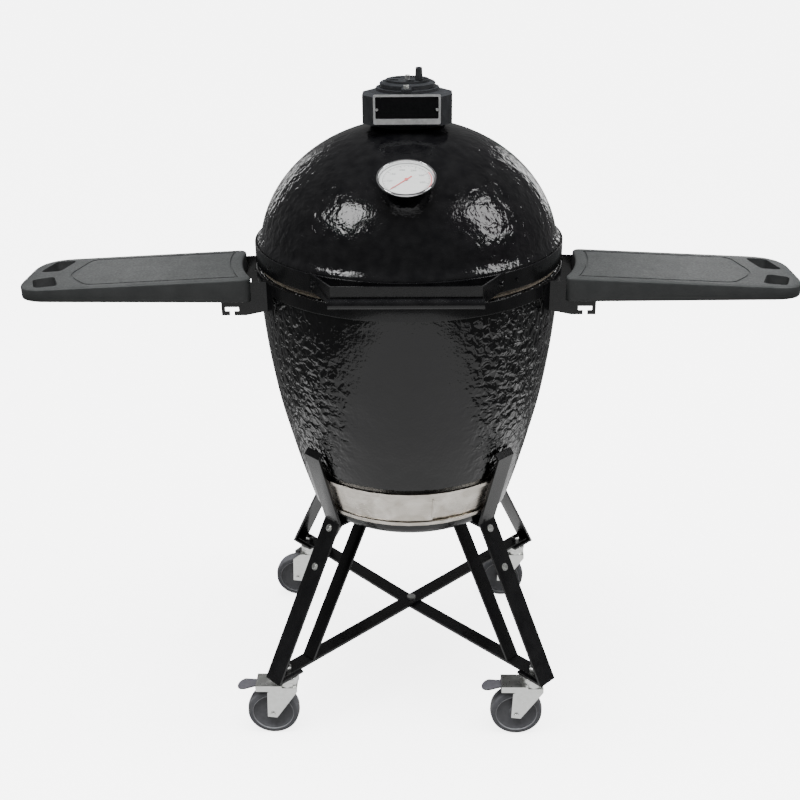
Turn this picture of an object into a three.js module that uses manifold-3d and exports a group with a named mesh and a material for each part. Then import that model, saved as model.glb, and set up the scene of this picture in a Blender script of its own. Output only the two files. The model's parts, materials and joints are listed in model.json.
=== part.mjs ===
// Kamado grill: a ceramic egg on a four-legged steel cart with two side shelves.
// Millimetres, +Z up, front is -Y. The origin is on the floor, on the axis of the egg.
import * as THREE from 'three';
import { mergeVertices } from 'three/addons/utils/BufferGeometryUtils.js';
import Module from 'manifold-3d';

const wasm = await Module();
wasm.setup();

// ---------------------------------------------------------------- dimensions
const FACETS = 40;              // shared by every ring on the egg, so their flats line up
const GAP = 0.3;                // between touching pieces
const RAD = Math.PI / 180;

const EGG_R = 270;              // outside of both ceramic rims
const RIM_R = 240;              // inside of both ceramic rims
const RIM_Z = 879;              // top of the base
const LID_Z = 887.6;            // bottom of the lid
const FLOOR_Z = 409;            // underside of the base
const HEARTH_Z = 445;           // floor inside the base
const LEDGE_Z = 836;            // ledge the cooking grate lies on
const LEDGE_R = 230;
// Outside of the base, from the foot to the rim: radius, height.
const BOWL = [[190, 418], [209, 482], [227, 551], [245, 629], [259, 718], [267, 797], [270, 850]];
const BOWL_INNER = [[226, 718], [214, 629], [197, 551], [180, 482], [166, 445]];

const DOME = { a: 265, b: 225, z: 898 };        // outside of the lid
const DOME_INNER = { a: 240, b: 200, z: 898 };
const NECK_R = 60;
const NECK_TOP = 1137;
const FLUE_R = 48;

const BAND_IN = 270.4;
const BAND_OUT = 273.5;
const LID_BAND = [890, 922];
const BASE_BAND = [856, 878];

const HINGE_Y = 303;
const HINGE_Z = 883;
const KNUCKLE_R = 11;
const PIN_R = 4;

const HANDLE_HALF = 118;
const HANDLE_Y = -300;
const ROLL_R = 8.5;

const CAP_TOP = 1175;
const CAP_LOW = 1128;
const CAP_BOTTOM = 1120;
const CAP_HALF = 75;
const CAP_FACE = 57;
const CAP_FRONT = -76;
const CAP_BACK_R = 60;
const SEAT_TOP = 1180;
const DISC_R = 47.5;
const DISC_Z = [1180.3, 1189];
const DAISY_TOP = 1192.6;
const VENT_R = 9;
const VENT_CIRCLE = 26;
const DAMPER_PIVOT = [-1, -62];

const GAUGE_Y = -194;           // where the thermometer stem leaves the dome
const GAUGE_TILT = 23;          // its axis, in degrees from vertical towards the front
const GAUGE_LIFT = 10;          // its case stands this far off the dome
const GAUGE_R = 47.5;
const NEEDLE_REST = 135;        // the needle at rest, counter-clockwise from the top of the dial

const DRAFT_Z = [438, 513];
const DRAFT_HALF = 50;          // the frame's half angle around the base
const HOLE = [-34, 8];          // the draft opening's angles
const DOOR = [-38, 12];         // the door's angles when shut

const SHELF_TOP = 886.4;        // at the end next to the egg
const SHELF_FALL = 0.0495;      // how much the shelf drops per mm outwards
const SHELF_ROOT = 262;
const SHELF_TIP = 675;
const APRON = 44;
const APRON_TIP = 21;
const SHELF_SKIN = 6;
const ARM_LOW = 818;            // underside of the arms
const ARM_Y = [-133, 20];       // the two bracket arms under each shelf

const STRAP_W = 40;
const BAR_W = 30;               // width of the straps inside the legs
const STRAP_T = 5;
const TABLE_Z = 406;            // centre height of the straps the egg stands on
const CROSS_Z = 139.8;          // centre height of the lower cross
const STEM_RHO = 329;           // caster stems, out along the diagonals
const STRUT_TOP = 117;
const STRUT_FOOT = 275;

const WHEEL_R = 50;
const TRAIL = 30;               // how far each wheel trails its stem

// ---------------------------------------------------------------- materials
const LOOKS = {
  ceramic: { color: 0x0b0b0c, roughness: 0.16, metalness: 0 },
  clay: { color: 0xb9a88c, roughness: 0.9, metalness: 0 },
  felt: { color: 0x8b8072, roughness: 1, metalness: 0 },
  black: { color: 0x0d0d0e, roughness: 0.35, metalness: 0.2 },
  iron: { color: 0x2b2c2e, roughness: 0.7, metalness: 0.6 },
  steel: { color: 0xc9c3ba, roughness: 0.35, metalness: 1 },
  zinc: { color: 0xd4d6d4, roughness: 0.28, metalness: 1 },
  chrome: { color: 0xe2e2e2, roughness: 0.12, metalness: 1 },
  white: { color: 0xf3f2ee, roughness: 0.6, metalness: 0 },
  red: { color: 0xb3202a, roughness: 0.5, metalness: 0 },
  glass: { color: 0xdfe8ea, roughness: 0.05, metalness: 0 },
  shelf: { color: 0x34383b, roughness: 0.55, metalness: 0 },
  tyre: { color: 0x6d6f75, roughness: 0.7, metalness: 0 },
  pedal: { color: 0x6b6771, roughness: 0.5, metalness: 0 },
};

// ---------------------------------------------------------------- solids
// Welds a geometry's points, drops its flat triangles and turns it outside out if needed.
function weld(source) {
  const geometry = source.index ? source.toNonIndexed() : source.clone();
  geometry.deleteAttribute('normal');
  geometry.deleteAttribute('uv');
  const welded = mergeVertices(geometry, 1e-3);
  const p = welded.attributes.position;
  const index = welded.index.array;
  const kept = [];
  let volume = 0;
  const a = new THREE.Vector3();
  const b = new THREE.Vector3();
  const c = new THREE.Vector3();
  for (let i = 0; i < index.length; i += 3) {
    const [u, v, w] = [index[i], index[i + 1], index[i + 2]];
    if (u === v || v === w || w === u) continue;
    kept.push(u, v, w);
    a.fromBufferAttribute(p, u);
    b.fromBufferAttribute(p, v);
    c.fromBufferAttribute(p, w);
    volume += a.dot(b.cross(c));
  }
  if (volume < 0) {
    for (let i = 0; i < kept.length; i += 3) {
      [kept[i], kept[i + 1]] = [kept[i + 1], kept[i]];
    }
  }
  welded.setIndex(kept);
  return welded;
}

function toManifold(geometry) {
  const welded = weld(geometry);
  const mesh = new wasm.Mesh({
    numProp: 3,
    vertProperties: new Float32Array(welded.attributes.position.array),
    triVerts: new Uint32Array(welded.index.array),
  });
  return new wasm.Manifold(mesh);
}

function fromManifold(solid) {
  const mesh = solid.getMesh();
  const geometry = new THREE.BufferGeometry();
  geometry.setAttribute('position', new THREE.BufferAttribute(mesh.vertProperties, 3));
  geometry.setIndex(new THREE.BufferAttribute(mesh.triVerts, 1));
  return geometry;
}

function combine(operation, first, rest) {
  let solid = toManifold(first);
  for (const other of rest) solid = solid[operation](toManifold(other));
  return fromManifold(solid);
}

const join = (first, ...rest) => combine('add', first, rest);
const cut = (first, ...rest) => combine('subtract', first, rest);
const common = (first, ...rest) => combine('intersect', first, rest);

// A closed profile of [radius, height] points turned about the vertical axis.
function ring(profile, facets = FACETS) {
  const points = profile.map(([r, z]) => new THREE.Vector2(r, z));
  const first = points[0];
  if (first.x > 0) points.push(first.clone());
  return new THREE.LatheGeometry(points, facets).rotateX(Math.PI / 2);
}

const tube = (r0, r1, z0, z1, facets = FACETS) => ring([[r0, z0], [r1, z0], [r1, z1], [r0, z1]], facets);

const puck = (r, z0, z1, facets = 12) => ring([[0, z0], [r, z0], [r, z1], [0, z1]], facets);

// An outline of [x, y] points between two heights.
function slab(outline, z0, z1, holes = []) {
  const shape = new THREE.Shape(outline.map(([x, y]) => new THREE.Vector2(x, y)));
  for (const hole of holes) {
    shape.holes.push(new THREE.Path(hole.map(([x, y]) => new THREE.Vector2(x, y))));
  }
  const geometry = new THREE.ExtrudeGeometry(shape, { depth: z1 - z0, bevelEnabled: false });
  return geometry.translate(0, 0, z0);
}

function block(x0, x1, y0, y1, z0, z1) {
  const geometry = new THREE.BoxGeometry(x1 - x0, y1 - y0, z1 - z0);
  return geometry.translate((x0 + x1) / 2, (y0 + y1) / 2, (z0 + z1) / 2);
}

// A round bar along X or Y.
function bar(axis, r, from, to, at, facets = 12) {
  const geometry = new THREE.CylinderGeometry(r, r, to - from, facets);
  const middle = (from + to) / 2;
  if (axis === 'x') return geometry.rotateZ(Math.PI / 2).translate(middle, at[0], at[1]);
  return geometry.translate(at[0], middle, at[1]);
}

// An outline of [u, z] points standing in a vertical plane, with its width across that plane.
function standing(outline, width) {
  return slab(outline, -width / 2, width / 2).rotateX(Math.PI / 2);
}

// The outline of a bent strap whose centre line runs through the given points.
function bentStrap(path, thickness) {
  const half = thickness / 2;
  const left = [];
  const right = [];
  path.forEach(([u, z], i) => {
    const before = path[Math.max(i - 1, 0)];
    const after = path[Math.min(i + 1, path.length - 1)];
    const here = new THREE.Vector2(u, z);
    const into = i > 0 ? here.clone().sub(new THREE.Vector2(...before)).normalize() : null;
    const out = i < path.length - 1 ? new THREE.Vector2(...after).sub(here).normalize() : null;
    const a = into ?? out;
    const b = out ?? into;
    const normal = new THREE.Vector2(-a.y - b.y, a.x + b.x).normalize();
    const reach = half / normal.dot(new THREE.Vector2(-a.y, a.x));
    left.push([u + normal.x * reach, z + normal.y * reach]);
    right.unshift([u - normal.x * reach, z - normal.y * reach]);
  });
  return [...left, ...right];
}

// Rounds the corners of an outline given as [x, y, radius] points.
function rounded(corners, steps = 4) {
  const outline = [];
  corners.forEach(([x, y, radius = 0], i) => {
    const here = new THREE.Vector2(x, y);
    const before = corners[(i + corners.length - 1) % corners.length];
    const after = corners[(i + 1) % corners.length];
    if (radius === 0) {
      outline.push([x, y]);
      return;
    }
    const a = new THREE.Vector2(before[0], before[1]).sub(here).normalize();
    const b = new THREE.Vector2(after[0], after[1]).sub(here).normalize();
    const halfAngle = Math.acos(a.dot(b)) / 2;
    const run = radius / Math.tan(halfAngle);
    const start = here.clone().addScaledVector(a, run);
    const end = here.clone().addScaledVector(b, run);
    for (let k = 0; k <= steps; k += 1) {
      const t = k / steps;
      const p = start.clone().multiplyScalar((1 - t) ** 2);
      p.addScaledVector(here, 2 * t * (1 - t)).addScaledVector(end, t ** 2);
      outline.push([p.x, p.y]);
    }
  });
  return outline;
}

const circle = (x, y, r, count, turn = 0) => Array.from({ length: count }, (_, i) => {
  const angle = turn + (i / count) * 2 * Math.PI;
  return [x + r * Math.cos(angle), y + r * Math.sin(angle)];
});

// A point at an angle around the egg, measured from the front towards +X.
const around = (angle, r) => [r * Math.sin(angle * RAD), -r * Math.cos(angle * RAD)];

// The part of a solid between two angles around the egg.
function sector(solid, from, to) {
  const reach = 400;
  const wedge = [[0, 0]];
  for (let i = 0; i <= 4; i += 1) wedge.push(around(from + ((to - from) * i) / 4, reach));
  return common(solid, slab(wedge, 0, 1300));
}

const mirrored = (geometry) => weld(geometry.clone().scale(-1, 1, 1));

const turned = (geometry, degrees) => geometry.clone().rotateZ(degrees * RAD);

// ---------------------------------------------------------------- assembly
const grill = new THREE.Group();
grill.name = 'kamado_grill';

function add(name, look, geometry) {
  const mesh = new THREE.Mesh(weld(geometry), new THREE.MeshStandardMaterial(LOOKS[look]));
  mesh.name = name;
  grill.add(mesh);
}

// ---------------------------------------------------------------- egg
function domePoints(dome, from, to, steps) {
  const points = [];
  for (let i = 0; i <= steps; i += 1) {
    const angle = (from + ((to - from) * i) / steps) * RAD;
    points.push([dome.a * Math.cos(angle), dome.z + dome.b * Math.sin(angle)]);
  }
  return points;
}

function baseShell() {
  const foot = BOWL[0][0] - 12;
  const outside = [[0, FLOOR_Z], [foot, FLOOR_Z], ...BOWL, [EGG_R, RIM_Z]];
  const inside = [[RIM_R, RIM_Z], [RIM_R, LEDGE_Z], [LEDGE_R, LEDGE_Z], ...BOWL_INNER, [0, HEARTH_Z]];
  const hole = sector(tube(140, 250, HEARTH_Z + 5, 502), ...HOLE);
  return cut(ring([...outside, ...inside]), hole);
}

function lidShell() {
  const rim = [[RIM_R, LID_Z], [EGG_R, LID_Z], [EGG_R, 922], [264.2, 931]];
  const outside = domePoints(DOME, 17, 75.6, 6);
  const neck = [[NECK_R, 1117.4], [NECK_R, NECK_TOP], [FLUE_R, NECK_TOP]];
  const inside = domePoints(DOME_INNER, 78.5, 4, 5);
  const shell = ring([...rim, ...outside, ...neck, ...inside]);
  return cut(shell, onGauge(puck(4.2, -60, 20, 8)));
}

function fireBox() {
  const outside = [[124, 445.4], [148, 445.4], [166, 482], [184, 551], [200, 629], [203, 650]];
  const inside = [[181, 650], [178, 629], [162, 551], [150, 505], [132, 505]];
  const notch = sector(tube(90, 220, 440, 490), -34, 34);
  return cut(ring([...outside, ...inside], 30), notch);
}

function charcoalGrate() {
  const holes = [];
  for (const [count, radius] of [[8, 98], [4, 46]]) {
    for (let i = 0; i < count; i += 1) {
      const [x, y] = around((i * 360) / count, radius);
      holes.push(circle(x, y, 13, 6));
    }
  }
  return slab(circle(0, 0, 144, 30), 505.4, 513.4, holes);
}

function cookingGrate() {
  const z = LEDGE_Z + GAP;
  const hoop = tube(228, 237, z, z + 6, FACETS);
  const rods = [block(-231, 231, -3, 3, z + 1, z + 4)];
  for (let x = -190; x <= 190; x += 38) {
    const reach = Math.sqrt(231 ** 2 - x ** 2);
    rods.push(block(x - 2.5, x + 2.5, -reach, reach, z + 2, z + 5));
  }
  return join(hoop, ...rods);
}

add('base_shell', 'ceramic', baseShell());
add('lid_shell', 'ceramic', lidShell());
add('fire_box', 'clay', fireBox());
add('charcoal_grate', 'iron', charcoalGrate());
add('cooking_grate', 'iron', cookingGrate());
add('base_gasket', 'felt', tube(244, 266, RIM_Z + GAP, 883));
add('lid_gasket', 'felt', tube(244, 266, 883 + GAP, LID_Z - GAP));
add('base_band', 'black', tube(BAND_IN, BAND_OUT, ...BASE_BAND));
add('lid_band', 'black', tube(BAND_IN, BAND_OUT, ...LID_BAND));

// ---------------------------------------------------------------- hinge and handle
function hingeLeaf(plateZ, arms, armZ) {
  const hub = [HINGE_Y, HINGE_Z];
  const plate = block(-60, 60, BAND_OUT + 0.7, BAND_OUT + 3.7, ...plateZ);
  const pieces = [];
  for (const [from, to] of arms) {
    pieces.push(block(from, to, BAND_OUT + 3, HINGE_Y, ...armZ));
    pieces.push(bar('x', KNUCKLE_R, from, to, hub, 12));
  }
  return cut(join(plate, ...pieces), bar('x', PIN_R + 0.4, -70, 70, hub, 12));
}

add('hinge_base_bracket', 'black', hingeLeaf([850, 877], [[-57, -43], [43, 57]], [868, 882]));
add('hinge_lid_bracket', 'black', hingeLeaf([891, 921], [[-42, -28], [28, 42]], [884, 908]));
add('hinge_pin', 'zinc', bar('x', PIN_R, -62, 62, [HINGE_Y, HINGE_Z], 12));

function lidHandle() {
  const path = [[-156, -229], [-HANDLE_HALF, HANDLE_Y], [HANDLE_HALF, HANDLE_Y], [156, -229]];
  const plate = slab(bentStrap(path, 3), 896, 926);
  const rollAt = [HANDLE_Y - 5.5, 899];
  return join(plate, bar('x', ROLL_R, -HANDLE_HALF - 4, HANDLE_HALF + 4, rollAt, 16));
}

add('lid_handle', 'black', lidHandle());

// ---------------------------------------------------------------- thermometer
// Places a piece built about the vertical axis on the dome, along the stem.
function onGauge(geometry) {
  const z = DOME.z + DOME.b * Math.sqrt(1 - (GAUGE_Y / DOME.a) ** 2);
  return geometry.rotateX(GAUGE_TILT * RAD).translate(0, GAUGE_Y, z);
}

const lifted = (geometry) => onGauge(geometry.translate(0, 0, GAUGE_LIFT));

function gaugeCase() {
  const back = [[0, 3.4], [40, 3.4], [GAUGE_R, 9], [GAUGE_R, 15]];
  const well = [[GAUGE_R - 3.5, 15], [GAUGE_R - 3.5, 7.4], [0, 7.4]];
  return lifted(ring([...back, ...well], 24));
}

function gaugeNeedle() {
  const pointer = slab([[-1.2, -12], [1.2, -12], [0.6, 34], [-0.6, 34]], 8.9, 9.7);
  return lifted(join(puck(3, 8.9, 10.6, 10), pointer).rotateZ(NEEDLE_REST * RAD));
}

add('thermometer_case', 'chrome', gaugeCase());
add('thermometer_dial', 'white', lifted(puck(GAUGE_R - 4.2, 7.7, 8.6, 24)));
add('thermometer_needle', 'red', gaugeNeedle());
add('thermometer_lens', 'glass', lifted(puck(GAUGE_R - 4.2, 11.6, 13.4, 24)));
add('thermometer_stem', 'zinc', onGauge(headedBolt(3.2, 8, -70, 4, GAUGE_LIFT + 3.1)));

// ---------------------------------------------------------------- chimney cap
function capOutline() {
  const outline = [[-CAP_FACE, CAP_FRONT], [CAP_FACE, CAP_FRONT], [CAP_HALF, -52], [CAP_HALF, -14]];
  for (let i = 0; i <= 6; i += 1) {
    const angle = (12 + i * 26) * RAD;
    outline.push([CAP_BACK_R * Math.cos(angle), CAP_BACK_R * Math.sin(angle)]);
  }
  outline.push([-CAP_HALF, -14], [-CAP_HALF, -52]);
  return outline;
}

function capHousing() {
  const body = slab(capOutline(), CAP_LOW, CAP_TOP);
  const skirt = ring([[0, CAP_BOTTOM], [66, CAP_BOTTOM], [73, CAP_LOW + 2], [0, CAP_LOW + 2]], 24);
  const seat = puck(54, CAP_TOP - 2, SEAT_TOP, 24);
  const [px, py] = DAMPER_PIVOT;
  const boss = puck(9, CAP_TOP - 2, SEAT_TOP).translate(px, py, 0);
  const socket = puck(NECK_R + 0.5, CAP_BOTTOM - 1, NECK_TOP + 0.4, FACETS);
  const flue = puck(FLUE_R + 4, CAP_BOTTOM, CAP_TOP - 5, 24);
  const mouth = puck(44, CAP_BOTTOM, SEAT_TOP + 1, 24);
  const boltHole = puck(3.3, 1157, SEAT_TOP + 1, 10).translate(px, py, 0);
  return cut(join(body, skirt, seat, boss), socket, flue, mouth, boltHole);
}

function ventHoles(turn, z0, z1) {
  const holes = [];
  for (let i = 0; i < 5; i += 1) {
    const [x, y] = around(turn + i * 72, VENT_CIRCLE);
    holes.push(puck(VENT_R, z0, z1, 8).translate(x, y, 0));
  }
  return holes;
}

function damperDisc() {
  const [z0, z1] = DISC_Z;
  const [px, py] = DAMPER_PIVOT;
  const disc = ring([[0, z0], [DISC_R, z0], [DISC_R, z1 - 2], [DISC_R - 3, z1], [0, z1]], 28);
  const lug = puck(9, z0, z0 + 5.4).translate(px, py, 0);
  const web = block(px - 8, px + 8, py, -40, z0, z0 + 5.4);
  const pivot = puck(3.3, z0 - 1, z1, 10).translate(px, py, 0);
  const tapped = puck(3, z0 + 3, z1 + 1, 10);
  return cut(join(disc, lug, web), pivot, tapped, ...ventHoles(-26, z0 - 1, z1 + 1));
}

function daisyWheel() {
  const z0 = DISC_Z[1] + GAP;
  const wheel = puck(37, z0, DAISY_TOP, 24);
  return cut(wheel, puck(3.3, z0 - 1, DAISY_TOP + 1, 10), ...ventHoles(10, z0 - 1, DAISY_TOP + 1));
}

function headedBolt(r, headR, bottom, shoulder, top) {
  return ring([[0, bottom], [r, bottom], [r, shoulder], [headR, shoulder], [headR, top], [0, top]], 10);
}

function damperKnob() {
  const [x, y] = around(46, VENT_CIRCLE + 1);
  const z = DAISY_TOP + GAP;
  return ring([[0, z], [6.5, z], [5, 1214.5], [0, 1214.5]], 12).translate(x, y, 0);
}

add('cap_housing', 'iron', capHousing());
add('name_plate', 'white', block(-55.5, 55.5, CAP_FRONT - 3.1, CAP_FRONT - GAP, 1131, 1179));
add('damper_disc', 'iron', damperDisc());
add('daisy_wheel', 'iron', daisyWheel());
add('damper_knob', 'iron', damperKnob());
const pivotBolt = headedBolt(2.9, 6, 1160, DISC_Z[0] + 5.7, 1192);
add('damper_pivot_bolt', 'zinc', pivotBolt.translate(...DAMPER_PIVOT, 0));
add('daisy_bolt', 'zinc', headedBolt(2.7, 5.5, DISC_Z[0] + 3.5, DAISY_TOP + GAP, 1199));

// ---------------------------------------------------------------- draft door
// The outside radius of the base at a height.
function bowlRadius(z) {
  for (let i = 1; i < BOWL.length; i += 1) {
    const [r0, z0] = BOWL[i - 1];
    const [r1, z1] = BOWL[i];
    if (z <= z1) return r0 + ((r1 - r0) * (z - z0)) / (z1 - z0);
  }
  return EGG_R;
}

const offBowl = (section) => section.map(([off, z]) => [bowlRadius(z) + off, z]);

function draftFrame() {
  const [low, high] = DRAFT_Z;
  const [back, lip, face] = [1.8, 5.1, 6.7];
  const lowerRail = [[0.4, low], [face, low], [face, low + 8], [lip, low + 8], [lip, low + 3], [back, low + 3]];
  const upperRail = [[back, high - 3], [lip, high - 3], [lip, high - 8], [face, high - 8], [face, high]];
  const section = offBowl([...lowerRail, [back, 482], ...upperRail, [0.4, high], [0.4, 482]]);
  const hole = sector(tube(150, 250, HEARTH_Z + 4, 503), ...HOLE);
  return cut(sector(ring(section), -DRAFT_HALF, DRAFT_HALF), hole);
}

function draftDoor() {
  const [low, high] = [DRAFT_Z[0] + 3.5, DRAFT_Z[1] - 3.5];
  const [back, face, reach] = [2.7, 4.2, 6.3];
  const section = offBowl([[back, low], [face, low], [face, 482], [face, high], [back, high], [back, 482]]);
  const lip = offBowl([[3, 453], [reach, 453], [reach, 482], [reach, 498], [3, 498], [3, 482]]);
  return join(sector(ring(section), ...DOOR), sector(ring(lip), DOOR[1] - 0.8, DOOR[1]));
}

add('draft_frame', 'steel', draftFrame());
add('draft_door', 'steel', draftDoor());

// ---------------------------------------------------------------- shelves
function innerArc(radius, from, to, steps) {
  const points = [];
  for (let i = 0; i <= steps; i += 1) {
    const y = from + ((to - from) * i) / steps;
    points.push([Math.sqrt(radius ** 2 - y ** 2), y]);
  }
  return points;
}

// Drops and thins a flat shelf towards its tip.
function slope(geometry) {
  const p = geometry.attributes.position;
  for (let i = 0; i < p.count; i += 1) {
    const t = (p.getX(i) - SHELF_ROOT) / (SHELF_TIP - SHELF_ROOT);
    const depth = 1 + t * (APRON_TIP / APRON - 1);
    const fall = (p.getX(i) - SHELF_ROOT) * SHELF_FALL;
    p.setZ(i, SHELF_TOP - fall + p.getZ(i) * depth);
  }
  return geometry;
}

function shelf() {
  const tip = [[650, -141, 20], [SHELF_TIP, -108, 50], [SHELF_TIP, -12, 60], [652, 28, 20]];
  const tipEdge = rounded([[622, -142, 0], ...tip, [622, 32, 0]], 3);
  const outline = [...innerArc(297, 34, -142, 5), ...tipEdge];
  const hollow = [[230, -137], [588, -137], [588, 27], [230, 28]];
  const slotA = rounded([[603, -124, 8], [643, -130, 12], [660, -84, 10], [624, -72, 10]], 2);
  const slotB = rounded([[622, -40, 10], [660, -43, 10], [645, 18, 12], [608, 18, 8]], 2);
  const body = slab(outline, -APRON, 0);
  const cutters = [slab(hollow, -APRON - 1, -SHELF_SKIN)];
  for (const slot of [slotA, slotB]) cutters.push(slab(slot, -APRON - 1, 1));
  return slope(cut(body, ...cutters));
}

// A steel arm under the shelf, with a curved foot against the base band and a T notch below.
function shelfBracket(y) {
  const top = (x) => SHELF_TOP - SHELF_SKIN - (x - SHELF_ROOT) * SHELF_FALL - 0.8;
  const start = Math.sqrt((BAND_OUT + 2) ** 2 - y ** 2);
  const notchX = 303;
  const tNotch = [
    [notchX - 4, ARM_LOW], [notchX - 4, ARM_LOW + 7], [notchX - 12, ARM_LOW + 7],
    [notchX - 12, ARM_LOW + 15], [notchX + 12, ARM_LOW + 15], [notchX + 12, ARM_LOW + 7],
    [notchX + 4, ARM_LOW + 7], [notchX + 4, ARM_LOW],
  ];
  const outline = [
    [start, ARM_LOW + 8], [notchX - 24, ARM_LOW], ...tNotch, [notchX + 18, ARM_LOW], [notchX + 18, 846],
    [480, 850], [480, top(480)], [start, top(start) - 2],
  ];
  const arm = standing(outline, 3).translate(0, y, 0);
  const angle = 90 + Math.atan2(y, start) / RAD;
  const foot = sector(tube(BAND_OUT + 0.4, BAND_OUT + 3.4, 824, 877), angle - 4.5, angle + 4.5);
  return join(arm, foot);
}

const rightShelf = shelf();
add('shelf_right', 'shelf', rightShelf);
add('shelf_left', 'shelf', mirrored(rightShelf));
for (const [place, y] of [['front', ARM_Y[0]], ['rear', ARM_Y[1]]]) {
  const bracket = shelfBracket(y);
  add(`bracket_right_${place}`, 'black', bracket);
  add(`bracket_left_${place}`, 'black', mirrored(bracket));
}

// ---------------------------------------------------------------- cart
// Corners: name and the angle of each leg, counted from +X.
const CORNERS = [['front_right', -45], ['front_left', -135], ['rear_right', 45], ['rear_left', 135]];

function leg() {
  const path = [[235, 572], [243, 563], [202, 415], [361, 134.5], [306, 134.5]];
  const strap = standing(bentStrap(path, STRAP_T), STRAP_W);
  return cut(strap, puck(5.6, 125, 145).translate(STEM_RHO, 0, 0));
}

// One diagonal of the table the egg stands on, with its two struts down to the lower cross.
function innerFrame(dip) {
  const half = STRAP_T / 2;
  const reach = 202;
  const low = TABLE_Z - dip;
  const path = [[-reach, TABLE_Z], [-75, TABLE_Z], [-60, low], [60, low], [75, TABLE_Z], [reach, TABLE_Z]];
  const frame = [standing(bentStrap(path, STRAP_T), BAR_W)];
  const foot = CROSS_Z + half + GAP;
  for (const side of [-1, 1]) {
    const strut = [
      [side * (STRUT_TOP - 3), TABLE_Z], [side * (STRUT_TOP + 3), TABLE_Z],
      [side * (STRUT_FOOT + 3), foot], [side * (STRUT_FOOT - 3), foot],
    ];
    frame.push(standing(side > 0 ? strut : strut.reverse(), BAR_W));
  }
  return join(...frame);
}

// A diagonal of the lower cross, flat on the leg feet; the lower one sags gently to pass under the other.
function crossStrap(dip) {
  const low = CROSS_Z - dip;
  const end = 350;
  const flat = 300;
  const path = [[-end, CROSS_Z], [-flat, CROSS_Z], [-25, low], [25, low], [flat, CROSS_Z], [end, CROSS_Z]];
  const strap = standing(bentStrap(path, STRAP_T), BAR_W);
  const holes = [-STEM_RHO, 0, STEM_RHO].map((rho) => puck(5.6, 120, 150).translate(rho, 0, 0));
  return cut(strap, ...holes);
}

for (const [name, angle] of CORNERS) add(`leg_${name}`, 'black', turned(leg(), angle));
add('inner_frame_a', 'black', turned(innerFrame(0), 45));
add('inner_frame_b', 'black', turned(innerFrame(STRAP_T + GAP), -45));
add('cross_strap_a', 'black', turned(crossStrap(0), 45));
add('cross_strap_b', 'black', turned(crossStrap(STRAP_T + GAP), -45));
add('cross_bolt', 'zinc', headedBolt(5, 9, 124, CROSS_Z + STRAP_T / 2 + GAP, 148));

// ---------------------------------------------------------------- casters
function casterMount() {
  const race = puck(21, 122, 131.6, 12);
  const stem = puck(5, 131, 146, 8);
  const nut = puck(9, CROSS_Z + STRAP_T / 2 + GAP, 150, 6);
  return join(race, stem, nut);
}

function forkCheek(y) {
  const low = WHEEL_R;
  const outline = [
    [-TRAIL - 10, low - 6], [-TRAIL + 8, low - 8], [19, 103], [19, 112], [-22, 112], [-TRAIL - 8, 100],
  ];
  return standing(outline, 2.5).translate(0, y, 0);
}

function casterFork(braked) {
  const cheekY = 18.2;
  const crown = puck(19.4, 110, 121.6, 12);
  const deck = block(-22, 19, -cheekY - 1.25, cheekY + 1.25, 109.5, 112);
  const axle = bar('y', 5, -cheekY - 4, cheekY + 4, [-TRAIL, WHEEL_R], 8);
  const pieces = [crown, deck, forkCheek(cheekY), forkCheek(-cheekY), axle];
  if (braked) {
    pieces.push(block(-60, -10, -cheekY - 1.25, -cheekY + 1.25, 103, 116));
    pieces.push(block(-60, -10, cheekY - 1.25, cheekY + 1.25, 103, 116));
    pieces.push(block(-60, -10, -cheekY, cheekY, 113.5, 116));
  }
  return join(...pieces);
}

function casterWheel() {
  const half = [[5.6, -14], [34, -10], [38, -15], [WHEEL_R, -13]];
  const profile = [...half, ...half.map(([r, z]) => [r, -z]).reverse()];
  return ring(profile, 20).rotateX(Math.PI / 2).translate(-TRAIL, 0, WHEEL_R);
}

function brakePedal() {
  const lever = [[-63, 104], [-57, 108], [-60.4, 111.6], [-92, 108], [-97, 101], [-93, 100], [-88, 104.6]];
  const plate = standing(lever, 30);
  const spindle = bar('y', 3, -16, 16, [-58, 107.5], 10);
  return join(plate, spindle);
}

for (const [name, angle] of CORNERS) {
  const [x, y] = [STEM_RHO * Math.cos(angle * RAD), STEM_RHO * Math.sin(angle * RAD)];
  const braked = name.startsWith('front');
  add(`caster_mount_${name}`, 'zinc', casterMount().translate(x, y, 0));
  add(`caster_fork_${name}`, 'zinc', casterFork(braked).translate(x, y, 0));
  add(`caster_wheel_${name}`, 'tyre', casterWheel().translate(x, y, 0));
  if (braked) add(`brake_pedal_${name}`, 'pedal', brakePedal().translate(x, y, 0));
}

export default grill;
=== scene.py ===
import json
import math

import bmesh
import bpy
from mathutils import Matrix, Vector


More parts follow.
